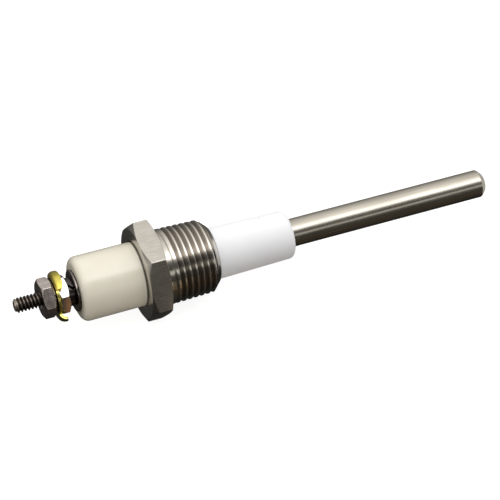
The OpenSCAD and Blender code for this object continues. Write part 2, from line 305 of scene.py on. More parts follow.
class Finish:
    """A material under construction: its shader, and one method that adds any other node."""

    def __init__(self, name, **constants):
        self.material = bpy.data.materials.new(name)
        self.material.use_nodes = True
        self.tree = self.material.node_tree
        self.tree.nodes.clear()
        out = self.tree.nodes.new("ShaderNodeOutputMaterial")
        self.shader = self.tree.nodes.new("ShaderNodeBsdfPrincipled")
        self.tree.links.new(self.shader.outputs[0], out.inputs["Surface"])
        for key, value in constants.items():
            self.shader.inputs[key.replace("_", " ").title().replace("Ior", "IOR")].default_value = value
        self.place = self.node("ShaderNodeTexCoord", out="Object")

    def node(self, kind, settings=None, inputs=None, out=0):
        """Adds a node: its settings first, such as an operation or a ramp's stops, then the value
        or link of each socket. Gives the output asked for."""
        node = self.tree.nodes.new(kind)
        for key, value in (settings or {}).items():
            if key == "stops":
                ramp = node.color_ramp
                while len(ramp.elements) < len(value):
                    ramp.elements.new(0.5)
                for element, (position, colour) in zip(ramp.elements, value):
                    element.position, element.color = position, (*colour, 1)
            else:
                setattr(node, key, value)
        for key, value in (inputs or {}).items():
            if isinstance(value, Value):
                self.tree.links.new(value.socket, node.inputs[key])
            else:
                node.inputs[key].default_value = value
        return Value(self, node.outputs[out])

    def attribute(self, name):
        """A number that the mesh holds at each point."""
        return self.node("ShaderNodeAttribute", {"attribute_name": name}, out="Fac")

    def split(self, vector):
        """The three parts of a vector."""
        return [self.node("ShaderNodeSeparateXYZ", None, {0: vector}, out=i) for i in range(3)]

    def around(self):
        """Place along the axis, distance from it and angle round it, in millimetres and radians."""
        x, y, z = self.split(self.place)
        radius = (y * y + z * z) ** 0.5
        angle = self.node("ShaderNodeMath", {"operation": "ARCTAN2"}, {0: z, 1: y})
        return x * 1000, radius * 1000, angle

    def join(self, x, y, z):
        return self.node("ShaderNodeCombineXYZ", None, {0: x, 1: y, 2: z})

    def stretched(self, x, y, z):
        """Object coordinates in millimetres, times one factor on each axis."""
        scale = (x * 1000, y * 1000, z * 1000)
        return self.node("ShaderNodeVectorMath", {"operation": "MULTIPLY"}, {0: self.place, 1: scale})

    def noise(self, vector, scale=1.0, detail=3.0, roughness=0.55):
        return self.node("ShaderNodeTexNoise", None,
                         {"Vector": vector, "Scale": scale, "Detail": detail, "Roughness": roughness})

    def spread(self, value, low, high, to_low=0.0, to_high=1.0):
        """Maps low to high onto the new ends and holds it between them."""
        return self.node("ShaderNodeMapRange", {"clamp": True},
                         {0: value, 1: low, 2: high, 3: to_low, 4: to_high})

    def mix(self, factor, a, b):
        """A colour between a and b."""
        def full(c):
            return c if isinstance(c, Value) else (*c, 1)
        return self.node("ShaderNodeMix", {"data_type": "RGBA"}, {0: factor, 6: full(a), 7: full(b)}, out=2)

    def bump(self, height, strength, distance):
        """A normal from a height."""
        return self.node("ShaderNodeBump", None,
                         {"Height": height, "Strength": strength, "Distance": distance})

    def set(self, **links):
        """Feeds what varies over the surface to the shader."""
        for key, value in links.items():
            socket = self.shader.inputs[key.replace("_", " ").title()]
            self.tree.links.new(value.socket, socket)
        return self.material


def gland_steel():
    """Drawn flats with fine lines along the bar, turned faces and thread with fine rings."""
    f = Finish("gland_steel", metallic=1.0)
    x, r, angle = f.around()
    drawn = f.noise(f.stretched(0.25, 9, 9), 1.0, 4)
    rings = f.noise(f.join(x * 11, r * 11, angle * 0.6), 1.0, 3)
    flat = f.attribute("drawn")
    lines = drawn * flat + rings * (1 - flat)
    cloud = f.noise(f.stretched(0.5, 0.5, 0.5), 1.0, 4)
    tone = f.spread(lines + (cloud - 0.5) * 0.7, 0.25, 0.85)
    deep = f.attribute("deep")
    steel = f.mix(tone, (0.50, 0.475, 0.435), (0.66, 0.635, 0.595))
    # painted highlight: the hexagon's corners and the thread's crests are mixed towards pale steel
    edge = f.attribute("edge")
    steel = f.mix(edge * 0.5, steel, (0.82, 0.78, 0.74))
    steel = f.mix(deep * 0.5, steel, (0.16, 0.12, 0.09))
    polish = f.attribute("polish")
    rough = f.spread(lines, 0.3, 0.75, 0.17, 0.27) + flat * 0.08 + deep * 0.06
    rough = rough - polish * 0.07
    return f.set(base_color=steel, roughness=rough, normal=f.bump(lines, 0.06, 0.02 * MM))


def rod_alloy():
    """Bare alloy brushed lengthwise, with faint uneven heat colour."""
    f = Finish("rod_alloy", metallic=1.0)
    lines = f.noise(f.stretched(0.06, 7, 7), 1.0, 5, 0.6)
    cloud = f.noise(f.stretched(0.10, 0.35, 0.35), 1.0, 3)
    tone = f.spread(lines + (cloud - 0.5) * 0.5, 0.28, 0.8)
    alloy = f.mix(tone, (0.47, 0.44, 0.385), (0.64, 0.61, 0.55))
    rough = f.spread(lines, 0.3, 0.75, 0.19, 0.29)
    return f.set(base_color=alloy, roughness=rough, normal=f.bump(lines, 0.12, 0.02 * MM))


def stem_steel():
    """Dark rolled thread with highlights painted on its crests, and a bright end."""
    f = Finish("stem_steel", metallic=1.0)
    grain = f.noise(f.stretched(1.4, 1.4, 1.4), 1.0, 5, 0.65)
    painted_edge_highlight = f.attribute("edge")
    deep = f.attribute("deep")
    dark = f.mix(grain, (0.09, 0.072, 0.062), (0.18, 0.155, 0.14))
    # painted highlight on the crests: they, and the end, are mixed towards lighter steel
    steel = f.mix(f.spread(painted_edge_highlight + grain * 0.5, 0.55, 1.4), dark, (0.29, 0.245, 0.21))
    tip = f.spread(f.around()[0], STEM_LOW.x * 1000 + 0.3, STEM_LOW.x * 1000 + 1.1, 1.0, 0.0)
    steel = f.mix(tip * 0.7, steel, (0.58, 0.52, 0.47))
    steel = f.mix(deep * 0.7, steel, (0.045, 0.035, 0.03))
    rough = f.spread(grain, 0.3, 0.7, 0.26, 0.44)
    return f.set(base_color=steel, roughness=rough, normal=f.bump(grain, 0.25, 0.03 * MM))


def nut_finish(name, dark, light, edge_colour, rough_low, rough_high):
    """Pressed hexagon steel: mottled plating, highlights painted on the corners and rims, and fine marks of
    the bar.
    """
    f = Finish(name, metallic=1.0)
    cloud = f.noise(f.stretched(0.7, 0.7, 0.7), 1.0, 4, 0.6)
    lines = f.noise(f.stretched(0.8, 10, 10), 1.0, 4)
    tone = f.spread(cloud * 0.7 + lines * 0.3, 0.32, 0.68)
    steel = f.mix(tone, dark, light)
    edge = f.attribute("edge")
    # painted highlight: corners and rims are mixed towards the pale edge colour
    steel = f.mix(f.spread(edge + (cloud - 0.5) * 0.6, 0.25, 1.0), steel, edge_colour)
    rough = f.spread(cloud, 0.3, 0.7, rough_low, rough_high)
    return f.set(base_color=steel, roughness=rough, normal=f.bump(lines + cloud, 0.12, 0.03 * MM))


def nut_steel():
    return nut_finish("nut_steel", (0.27, 0.23, 0.235), (0.40, 0.355, 0.35), (0.78, 0.70, 0.68), 0.20, 0.31)


def nut_plate():
    return nut_finish("nut_plate", (0.60, 0.53, 0.48), (0.78, 0.72, 0.67), (0.86, 0.80, 0.74), 0.12, 0.22)


def dark_washer():
    """Oil-dark hardened steel with highlights painted on its rim and edges."""
    f = Finish("dark_washer", metallic=1.0)
    grain = f.noise(f.stretched(1.5, 1.5, 1.5), 1.0, 4, 0.6)
    edge = f.attribute("edge")
    steel = f.mix(grain, (0.055, 0.05, 0.055), (0.13, 0.115, 0.115))
    # painted highlight: the rim and the edges are mixed towards a pale colour
    steel = f.mix(f.spread(edge + grain * 0.3, 0.5, 1.2), steel, (0.55, 0.49, 0.47))
    rough = f.spread(grain, 0.3, 0.7, 0.14, 0.28)
    return f.set(base_color=steel, roughness=rough, normal=f.bump(grain, 0.10, 0.02 * MM))


def brass_sheet():
    """Pressed bright brass, with shade painted dark on the flat of the sheet between the nuts and highlights
    painted on its edges.
    """
    f = Finish("brass_sheet", metallic=1.0)
    cloud = f.noise(f.stretched(0.8, 0.8, 0.8), 1.0, 4, 0.6)
    fine = f.noise(f.stretched(6, 6, 6), 1.0, 3)
    tone = f.spread(cloud, 0.32, 0.66)
    brass = f.mix(tone, (0.60, 0.49, 0.085), (0.84, 0.74, 0.16))
    edge = f.attribute("edge")
    # painted highlight: the sheet's rounded edge is mixed towards pale brass
    brass = f.mix(edge * 0.45, brass, (0.90, 0.80, 0.30))
    # painted shade: the flat of the sheet, clamped between the nuts, is mixed towards dark olive
    brass = f.mix(f.attribute("deep") * 0.75, brass, (0.13, 0.10, 0.02))
    rough = f.spread(cloud * 0.6 + fine * 0.4, 0.3, 0.7, 0.16, 0.30)
    return f.set(base_color=brass, roughness=rough, normal=f.bump(fine, 0.12, 0.03 * MM))


def cream_glaze():
    """Cream glaze on fired clay: cloudy colour, pinholes and a dark band where it enters the gland,
    partly soot and partly a painted shadow of the gap, under a clear coat with a slow ripple."""
    f = Finish("cream_glaze", roughness=0.34, coat_weight=0.9, coat_roughness=0.07, specular_ior_level=0.5)
    cloud = f.noise(f.stretched(0.16, 0.16, 0.16), 1.0, 3)
    fine = f.noise(f.stretched(2.2, 2.2, 2.2), 1.0, 4, 0.6)
    pits = f.spread(f.noise(f.stretched(3.1, 3.1, 3.1), 1.0, 2), 0.70, 0.78)
    x, r, angle = f.around()
    glaze = f.mix(f.spread(cloud, 0.3, 0.7), (0.765, 0.72, 0.60), (0.82, 0.785, 0.68))
    glaze = f.mix(fine * 0.25, glaze, (0.84, 0.81, 0.72))
    glaze = f.mix(pits * 0.25, glaze, (0.45, 0.40, 0.30))
    # painted shadow, with some soot: a near-black band on the glaze beside the gland's face
    seam = f.spread(x, GLAND_LOW.x * 1000 - 0.30, GLAND_LOW.x * 1000 - 0.18)
    glaze = f.mix(seam * 0.93, glaze, (0.045, 0.036, 0.022))
    ripple = f.noise(f.stretched(0.22, 0.3, 0.3), 1.0, 2)
    return f.set(base_color=glaze, normal=f.bump(ripple, 0.25, 0.25 * MM))


def white_ceramic():
    """Unglazed white ceramic: fine tooth and a few dark specks."""
    f = Finish("white_ceramic", roughness=0.62, specular_ior_level=0.35)
    fine = f.noise(f.stretched(5, 5, 5), 1.0, 4, 0.6)
    cloud = f.noise(f.stretched(0.25, 0.25, 0.25), 1.0, 3)
    specks = f.spread(f.noise(f.stretched(1.1, 1.1, 1.1), 1.0, 1), 0.76, 0.79)
    white = f.mix(f.spread(cloud, 0.3, 0.7), (0.895, 0.91, 0.955), (0.92, 0.935, 0.98))
    white = f.mix(specks * 0.5, white, (0.45, 0.44, 0.42))
    return f.set(base_color=white, normal=f.bump(fine, 0.12, 0.03 * MM))


def graphite():
    """Pressed graphite sheet: nearly black, with a grain that breaks up its shine."""
    f = Finish("graphite", specular_ior_level=0.4)
    grain = f.noise(f.stretched(4, 4, 4), 1.0, 4, 0.6)
    colour = f.mix(grain, (0.02, 0.02, 0.022), (0.075, 0.075, 0.08))
    rough = f.spread(grain, 0.3, 0.7, 0.38, 0.62)
    return f.set(base_color=colour, roughness=rough, normal=f.bump(grain, 0.3, 0.04 * MM))


FINISHES = {
    "gland_steel": gland_steel(), "rod_alloy": rod_alloy(), "stem_steel": stem_steel(),
    "nut_steel": nut_steel(), "nut_plate": nut_plate(), "dark_washer": dark_washer(),
    "brass_sheet": brass_sheet(), "cream_glaze": cream_glaze(), "white_ceramic": white_ceramic(),
    "gasket": graphite(),
}


def fit(piece, node, body, slot):
    """Gives a finished piece its material and the body that it moves with, and hides its CAD node."""
    piece.data.materials.append(FINISHES[slot])
    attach(piece, body)
    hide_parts(node)
    return piece


# ---------------------------------------------------------------- the camera

CAMERA_DISTANCE = 0.600
CAMERA_TURN = math.radians(16.2)       # between the axis and the picture plane
CAMERA_ROLL = math.radians(14.89)      # of the axis in the picture
CAMERA_LIFT = math.radians(36.5)       # of the viewing direction from the hexagon's upper flat
AIM_X = 21.64 * MM
AIM_DROP = 1.34 * MM
LENS = 194.3


def make_camera():
    """Stands the camera off the axis and rolls it so that the axis rises to the right."""
    axis = Vector((1, 0, 0))
    near = Vector((0, -math.sin(CAMERA_LIFT), math.cos(CAMERA_LIFT)))
    above = Vector((0, math.cos(CAMERA_LIFT), math.sin(CAMERA_LIFT)))
    along = axis * math.cos(CAMERA_TURN) + near * math.sin(CAMERA_TURN)
    towards = near * math.cos(CAMERA_TURN) - axis * math.sin(CAMERA_TURN)
    right = along * math.cos(CAMERA_ROLL) - above * math.sin(CAMERA_ROLL)
    up = along * math.sin(CAMERA_ROLL) + above * math.cos(CAMERA_ROLL)
    data = bpy.data.cameras.new("camera")
    data.lens, data.sensor_width = LENS, 36
    data.clip_start, data.clip_end = 0.01, 20
    camera = bpy.data.objects.new("camera", data)
    place = axis * AIM_X - above * AIM_DROP + towards * CAMERA_DISTANCE
    turn = Matrix((right, up, towards)).transposed().to_4x4()
    camera.matrix_world = Matrix.Translation(place) @ turn
    bpy.context.scene.collection.objects.link(camera)
    bpy.context.scene.camera = camera


make_camera()

# ---------------------------------------------------------------- the pieces


def make_gland():
    """One closed surface. A path runs from the web's bore out over the hexagon and the neck, along
    the tapered screw thread and back through the bore. The hexagon's radius changes with the angle,
    and the thread's radius is the smaller of the taper, the groove and the end's chamfer."""
    angles = hexagon_angles(0.0)
    count = len(angles)
    back = GLAND_LOW.x
    radius = hexagon_radius(angles, 0.0, HEX_FLAT, 0.25 * MM)
    face = HEX_FLAT - 0.05 * MM
    slope = 0.7 * MM / (HEX_FLAT / math.cos(math.radians(30)) - face)
    chamfer = (radius - face) * slope
    sink = 0.2 * MM                                   # countersink of the seat's mouth

    def both(x, r):
        return np.stack(np.broadcast_arrays(x, r, np.zeros(count))[:2], axis=-1)

    front = [
        both(WEB_X, WEB_BORE), both(SEAT_X, WEB_BORE), both(SEAT_X, SEAT_BORE), both(back + sink, SEAT_BORE),
        both(back, SEAT_BORE + sink), both(back, face), both(back + chamfer * 1.35, radius),
        both(-chamfer, radius), both(0, face),
        both(0, NECK_RADIUS), both(0.9 * MM, NECK_RADIUS),
    ]
    radii = [0, 0, 0.1 * MM, 0, 0.05 * MM, 0.12 * MM, 0.12 * MM, 0.12 * MM, 0.12 * MM, 0.15 * MM, 0]
    front = rounded(np.array(front), radii)
    n_front = len(front)

    start = 0.95 * MM
    place, distance, seam = thread_rows(start, MOUTH_X, PIPE_PITCH, PIPE_GROOVE, angles)
    crest = NECK_RADIUS + 0.04 * MM - PIPE_TAPER * np.maximum(place - NECK_LENGTH, 0)
    crest = np.minimum(crest, NECK_RADIUS)
    run_out = np.clip((2.75 * MM - place) / (1.9 * MM), 0, 1)
    floor = NECK_RADIUS - PIPE_TAPER * (place - NECK_LENGTH) - PIPE_DEPTH
    groove = v_groove(distance, floor + run_out * (PIPE_DEPTH + 0.1 * MM), 0.06 * MM)
    thread = soft_min(crest, groove, 0.07 * MM)
    chamfer_line = ENTRY_RADIUS + (MOUTH_X - place)
    outside = soft_min(thread, chamfer_line, 0.06 * MM)
    outside = np.minimum(outside, chamfer_line)
    middle = np.stack([place, outside], axis=-1)
    n_middle = len(middle)

    inner = [both(MOUTH_X, ENTRY_RADIUS), both(MOUTH_X, GLAND_BORE), both(WEB_X, GLAND_BORE),
             both(WEB_X, WEB_BORE)]
    inner = rounded(np.array(inner), [0, 0.08 * MM, 0.1 * MM, 0])[1:-1]
    n_inner = len(inner)

    path = np.concatenate([front, middle, inner])
    rows = np.arange(len(path))
    rows[n_front:n_front + n_middle] = seam + n_front
    depth = np.clip((crest - thread) / PIPE_DEPTH, 0, 1)
    deep = np.concatenate([np.zeros((n_front, count)), depth, np.zeros((n_inner, count))])
    deep[:n_front][front[..., 1] < SEAT_BORE + sink * 0.9] = 1
    polish = (path[..., 0] > 0.05 * MM) & (path[..., 1] > GLAND_BORE + 0.5 * MM)
    flats = np.zeros((len(path), count))
    on_hexagon = (path[..., 1] > face + 0.02 * MM) & (path[..., 0] < 0)
    flats[on_hexagon] = 1
    # edge marks the hexagon's corners and the thread's crests, where gland_steel paints highlights
    corner = np.abs(np.mod(angles + math.pi / 6, math.pi / 3) - math.pi / 6)
    edge = np.where(on_hexagon, np.exp(-(corner / math.radians(0.7)) ** 2)[None], 0)
    edge = np.maximum(edge, np.concatenate(
        [np.zeros((n_front, count)), np.exp(-(depth / 0.12) ** 2) * (run_out < 0.5),
         np.zeros((n_inner, count))]) * 0.8)
    piece = woven("gland", spin(path, angles), ring=True, seam=rows,
                  values={"deep": deep, "drawn": flats, "edge": edge, "polish": polish * 1.0})
    return fit(piece, "gland_body", "root", "gland_steel")


def revolved(name, corners, radii, columns=160, steps=6, ripple=0.0, values=None):
    """A turned piece: a rounded path about the axis, with an optional slow ripple of the radius."""
    path = rounded(np.array(corners), radii, steps)
    angles = even(columns)
    path = np.broadcast_to(path, (len(path), columns, 2)).copy()
    if ripple:
        wave = np.sin(2 * angles + 0.7) + 0.6 * np.sin(3 * angles + path[..., 0] * 240)
        path[..., 1] *= 1 + ripple * wave / 1.6
    return woven(name, spin(path, angles), values=values and values(path))


def make_outer_insulator():
    """Glazed body with a rounded head, a slight taper, a shoulder, a spigot and the stem's bore."""
    end = OUTER_HIGH.z - 0.01 * MM                    # room for the ripple
    bore, spigot = STUD_RADIUS + STEM_GAP, SPIGOT_RADIUS
    shoulder = UPPER_LOW.x
    at_gland = 7.25 * MM
    corners = [
        (OUTER_HIGH.x, bore), (OUTER_LOW.x, bore), (OUTER_LOW.x, end), (GLAND_LOW.x, at_gland),
        (shoulder, at_gland), (shoulder, spigot), (OUTER_HIGH.x, spigot), (OUTER_HIGH.x, bore),
    ]
    radii = [0, 0.3 * MM, 1.55 * MM, 0, 0.4 * MM, 0.2 * MM, 0.3 * MM, 0]
    piece = revolved("outer_insulator", corners, radii, steps=12, ripple=0.0006)
    return fit(piece, "outer_insulator", "root", "cream_glaze")


def make_inner_insulator():
    """White tapered sleeve with a rounded nose, a socket, the stem's bore and the rod's seat."""
    back, nose = INNER_LOW.x, INNER_HIGH.x
    seat = nose - SEAT_DEPTH
    socket_end = WEB_X + SOCKET_DEPTH
    stem_bore = STUD_RADIUS + STEM_GAP
    corners = [
        (back, WEB_BORE), (socket_end, WEB_BORE), (socket_end, stem_bore), (seat, stem_bore),
        (seat, SHANK_BORE), (nose, SHANK_BORE), (nose, NOSE_RADIUS), (back, INNER_HIGH.z),
        (back, WEB_BORE),
    ]
    radii = [0, 0, 0, 0, 0, 0.12 * MM, 1.4 * MM, 0.2 * MM, 0]
    piece = revolved("inner_insulator", corners, radii, steps=12)
    return fit(piece, "inner_insulator", "root", "white_ceramic")


def make_rod():
    """Plain rod with a chamfered tip and softened edges, a turned-down shank and a tapped hole."""
    tip, radius = ROD_HIGH.x, ROD_HIGH.z
    shoulder = INNER_HIGH.x + 0.1 * MM
    hole = STUD_RADIUS + 0.02 * MM
    corners = [
        (ROD_LOW.x + TAPPED_DEPTH, 0), (ROD_LOW.x + TAPPED_DEPTH, hole), (ROD_LOW.x, hole),
        (ROD_LOW.x, SHANK_RADIUS), (shoulder, SHANK_RADIUS), (shoulder, radius),
        (tip - TIP_CHAMFER, radius), (tip, radius - TIP_CHAMFER), (tip, 0),
    ]
    radii = [0, 0, 0.1 * MM, 0.1 * MM, 0.1 * MM, 0.05 * MM, 0.6 * MM, 0.35 * MM, 0]
    piece = revolved("sensing_rod", corners, radii)
    return fit(piece, "sensing_rod", "root", "rod_alloy")


def make_stem():
    """The stem: a chamfered end, a screw thread that runs into the insulator, then a plain shank."""
    angles = even(72)
    tip, end = STEM_LOW.x, STEM_HIGH.x
    thread_end = OUTER_LOW.x + 2 * MM
    place, distance, seam = thread_rows(tip, thread_end, STUD_PITCH, 0.1 * MM, angles)
    floor = STUD_RADIUS - STUD_DEPTH
    groove = v_groove(distance, floor, 0.06 * MM)
    fade = np.clip((place - thread_end + 0.8 * MM) / (0.8 * MM), 0, 1)
    thread = soft_min(np.full_like(place, STUD_RADIUS), groove + fade * STUD_DEPTH * 1.3, 0.05 * MM)
    cone = STUD_RADIUS - 0.55 * MM + (place - tip) * 1.1
    outside = np.minimum(soft_min(thread, cone, 0.08 * MM), STUD_RADIUS)
    middle = np.stack([place, outside], axis=-1)
    # edge marks the crests and the end, where stem_steel paints highlights
    edge = np.clip((outside - STUD_RADIUS + 0.10 * MM) / (0.10 * MM), 0, 1)
    edge = np.maximum(edge, np.clip((tip + 0.9 * MM - place) / (0.5 * MM), 0, 1))
    deep = np.clip((STUD_RADIUS - thread) / STUD_DEPTH, 0, 1) * (place > tip + 0.6 * MM)
    cap = np.array([[(tip, 0)] * len(angles), [(tip, STUD_RADIUS - 0.75 * MM)] * len(angles)])
    tail = np.array([[(end - 0.5 * MM, STUD_RADIUS)] * len(angles),
                     [(end, STUD_RADIUS - 0.5 * MM)] * len(angles), [(end, 0)] * len(angles)])
    path = np.concatenate([cap, middle, tail])
    rows = np.arange(len(path))
    rows[2:2 + len(middle)] = seam + 2

    def padded(part, first=0.0):
        return np.concatenate([np.full((2, len(angles)), first), part, np.zeros((3, len(angles)))])

    piece = woven("centre_stem", spin(path, angles), seam=rows,
                  values={"edge": padded(edge, 1.0), "deep": padded(deep)})
    return fit(piece, "centre_stem", "root", "stem_steel")


def make_nut(node, body, slot, low, high, turn, gap, boss=0.0):
    """A nut: a hexagon with both ends turned off by a cone, a plain bore and countersinks. A boss
    is a round washer face past the hexagon's far end."""
    turn = math.radians(turn)
    angles = hexagon_angles(turn, between=20, spread=math.radians(2.2))
    radius = hexagon_radius(angles, turn, NUT_FLAT, 0.16 * MM)
    face = NUT_FLAT - 0.05 * MM
    slope = 0.4 * MM / (NUT_FLAT / math.cos(math.radians(30)) - face)
    chamfer = (radius - face) * slope
    bore = STUD_RADIUS + gap
    sink = 0.3 * MM

    def both(x, r):
        return np.stack(np.broadcast_arrays(x, r, np.zeros(len(angles)))[:2], axis=-1)

    middle = (low.x + high.x) / 2
    end = high.x - boss
    far = [both(end, face), both(high.x, bore + sink)]
    if boss:
        far[1:1] = [both(end, BOSS_RADIUS), both(high.x, BOSS_RADIUS)]
    corners = np.array([
        both(middle, bore), both(low.x + sink, bore), both(low.x, bore + sink), both(low.x, face),
        both(low.x + chamfer, radius), both(end - chamfer, radius), *far,
        both(high.x - sink, bore), both(middle, bore),
    ])
    fine, soft = 0.05 * MM, 0.10 * MM
    path = rounded(corners, [0, fine, fine, soft, soft, soft, soft] + [fine] * len(far) + [0])
    # edge marks the corners and the rims, where nut_finish paints highlights
    corner = np.abs(np.mod(angles - turn + math.pi / 6, math.pi / 3) - math.pi / 6)
    at_corner = np.exp(-(corner / math.radians(2.0)) ** 2)[None]
    x, r = path[..., 0], path[..., 1]
    from_end = np.minimum(x - low.x - chamfer, end - chamfer - x)
    at_rim = np.exp(-(from_end / (0.12 * MM)) ** 2)
    edge = np.where(r > face - 0.02 * MM, np.maximum(at_corner, at_rim), 0)
    piece = woven(node, spin(path, angles), values={"edge": edge})
    return fit(piece, node, body, slot)


def make_flat_washer():
    """A stamped washer whose outer rim is rolled over on the visible side."""
    bore = STUD_RADIUS + 0.2 * MM
    outer = FLAT_HIGH.z
    middle = (FLAT_LOW.x + FLAT_HIGH.x) / 2
    corners = [(middle, bore), (FLAT_LOW.x, bore), (FLAT_LOW.x, outer), (FLAT_HIGH.x, outer),
               (FLAT_HIGH.x, bore), (middle, bore)]

    # the rounded corner of the visible rim, where dark_washer paints a highlight
    def painted_edge_highlight(path):
        x, r = path[..., 0], path[..., 1]
        near = np.hypot(x - FLAT_LOW.x - 0.12 * MM, r - outer + 0.12 * MM)
        return {"edge": np.exp(-(near / (0.22 * MM)) ** 2)}

    piece = revolved("flat_washer", corners, [0, 0.08 * MM, 0.22 * MM, 0.1 * MM, 0.08 * MM, 0],
                     columns=128, values=painted_edge_highlight)
    return fit(piece, "flat_washer", "root", "dark_washer")


def make_lock_washer():
    """A split spring washer: a rounded square section carried round the stem, a little short of a
    whole turn, with both ends closed and the cut slanted."""
    turn = math.radians(111)
    inner, outer = STUD_RADIUS + 0.1 * MM, LOCK_HIGH.y
    mid_r, mid_x = (inner + outer) / 2, (LOCK_LOW.x + LOCK_HIGH.x) / 2
    half_r, half_x = (outer - inner) / 2, (LOCK_HIGH.x - LOCK_LOW.x) / 2
    columns = 32
    around = np.linspace(0, 2 * math.pi, columns, endpoint=False)
    power = 2 / 7                                     # squares the section's corners
    sec_r = mid_r + half_r * np.sign(np.cos(around)) * np.abs(np.cos(around)) ** power
    sec_x = mid_x + half_x * np.sign(np.sin(around)) * np.abs(np.sin(around)) ** power
    gap = 0.35 * MM / mid_r
    sweep = np.linspace(gap, 2 * math.pi - gap, 97)
    slant = (sec_x - mid_x) / mid_r * 0.8
    ease = np.clip((np.abs(sweep - math.pi) - (math.pi - gap - 0.5)) / 0.5, 0, 1)
    angle = turn + sweep[:, None] + ease[:, None] * slant[None]
    ring = np.stack([np.broadcast_to(sec_x, angle.shape), sec_r * np.cos(angle), sec_r * np.sin(angle)], -1)
    first, last = ring[0].mean(0), ring[-1].mean(0)
    ring = np.concatenate([np.broadcast_to(first, (1, columns, 3)), ring,
                           np.broadcast_to(last, (1, columns, 3))])
    # the section's corners, where dark_washer paints highlights
    edge = np.broadcast_to(np.abs(np.sin(around * 2)) ** 4 * 0.6, ring.shape[:2])
    piece = woven("lock_washer", ring, values={"edge": edge})
    return fit(piece, "lock_washer", "root", "dark_washer")


# The lugs of the wire cup: turn from the first one's middle, half of the arc, outer radius, and the
# radius of the sheet's middle in the bend
CUP_TURN = math.radians(69.5)
LUGS = ((0.0, math.radians(43), 5.50 * MM, 0.75 * MM),
        (math.radians(154), math.radians(31), 5.94 * MM, 1.15 * MM))


def make_cup():
    """The brass washer: a sheet that runs out from the bore, turns up through a bend where there is
    a lug, and ends in a rounded edge. Its length from the bore changes with the angle: short
    between the lugs, and longer inside them with rounded ends. The section is a closed loop of the
    sheet's two faces and its two edges, carried round the axis."""
    sheet, drop = 0.6 * MM, 0.22 * MM
    bore = STUD_RADIUS + 0.25 * MM
    flat_end = 4.55 * MM - bore
    edges = np.linspace(-1, 1, 11) * math.radians(1.2)
    around = [np.linspace(0, 2 * math.pi, 300, endpoint=False)]
    for centre, half, *_ in LUGS:
        around += [centre + half + edges, centre - half + edges]
    around = np.unique(np.round(np.mod(np.concatenate(around), 2 * math.pi), 9))
    inside, arch = np.zeros_like(around), np.zeros_like(around)
    rise_r, bend = np.full_like(around, LUGS[0][2]), np.full_like(around, LUGS[0][3])
    for centre, half, outer, curve in LUGS:
        local = np.abs(np.mod(around - centre + math.pi, 2 * math.pi) - math.pi)
        share = np.clip((half - local) / math.radians(1.2) * 0.5 + 0.5, 0, 1)
        inside += share * share * (3 - 2 * share)
        here = local < half + math.radians(2)
        rise_r, bend = np.where(here, outer, rise_r), np.where(here, curve, bend)
        arch += np.sqrt(np.maximum(1 - (local / (half * 1.04)) ** 2, 0))
    rise_r = rise_r - sheet / 2                       # radius of the lug's middle
    run = rise_r - bend - bore
    height = 1.10 * MM + 0.83 * MM * arch
    full = run + bend * math.pi / 2 + np.maximum(height - sheet / 2 - bend, 0.05 * MM)
    length = flat_end + (full - flat_end) * inside

    def middle(s):
        """Place, radius and slope of the sheet's middle at a distance from the bore."""
        turn = np.clip((s - run) / bend, 0, math.pi / 2)
        r = bore + np.minimum(s, run) + bend * np.sin(turn)
        x = bend * (1 - np.cos(turn)) + np.maximum(s - run - bend * math.pi / 2, 0)
        return x, r, turn

    share = np.concatenate([np.linspace(0, 0.45, 5)[:-1], np.linspace(0.45, 1, 24)])
    cap = np.linspace(-math.pi / 2, math.pi / 2, 9)
    rim = 0.22 * MM

    def face(side):
        x, r, turn = middle(share[:, None] * (length[None] - rim))
        return np.stack([x - side * sheet / 2 * np.cos(turn), r + side * sheet / 2 * np.sin(turn)], -1)

    x_end, r_end, turn_end = middle(length[None] - rim)
    out_x, out_r = np.sin(turn_end), np.cos(turn_end)
    power = 0.6
    over = rim * np.abs(np.cos(cap)) ** power
    across = sheet / 2 * np.sign(np.sin(cap)) * np.abs(np.sin(cap)) ** power
    cap_x = x_end + over[:, None] * out_x + across[:, None] * np.cos(turn_end)
    cap_r = r_end + over[:, None] * out_r - across[:, None] * np.sin(turn_end)
    cap_rows = np.stack([cap_x, cap_r], -1)
    loop = np.concatenate([face(1), cap_rows[1:-1], face(-1)[::-1]])
    loop[..., 0] += CLAMP_LOW.x - sheet / 2
    angles = CUP_TURN + around
    # edge marks the sheet's rounded edge, where brass_sheet paints a highlight
    edge = np.concatenate([np.zeros((len(share), len(angles))), np.ones((len(cap) - 2, len(angles))),
                           np.zeros((len(share), len(angles)))])
    # deep marks the flat of the sheet, where brass_sheet paints shade
    flat = np.where(share[:, None] * length < run, 1.0, 0.0)
    deep = np.concatenate([flat, np.zeros((len(cap) - 2, len(angles))), flat[::-1]])
    points = spin(loop, angles) - drop * np.array([0, math.cos(CUP_TURN), math.sin(CUP_TURN)])
    piece = woven("wire_cup", points, ring=True, values={"edge": edge, "deep": deep}, sharp=50)
    return fit(piece, "wire_cup_washer", "wire_cup", "brass_sheet")


make_gland()
make_outer_insulator()
make_inner_insulator()
make_rod()
make_stem()
make_nut("terminal_nut", "terminal", "nut_steel", NUT_LOW, NUT_HIGH, 41.5, 0.05 * MM, boss=BOSS)
make_nut("clamp_nut", "root", "nut_plate", CLAMP_LOW, CLAMP_HIGH, 19.5, 0.02 * MM)
make_flat_washer()
make_lock_washer()
make_cup()

for gasket in ("upper_gasket", "lower_gasket", "rod_gasket", "head_gasket"):
    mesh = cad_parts[gasket].data
    mesh.materials.clear()
    mesh.materials.append(FINISHES["gasket"])

# ---------------------------------------------------------------- stage and light

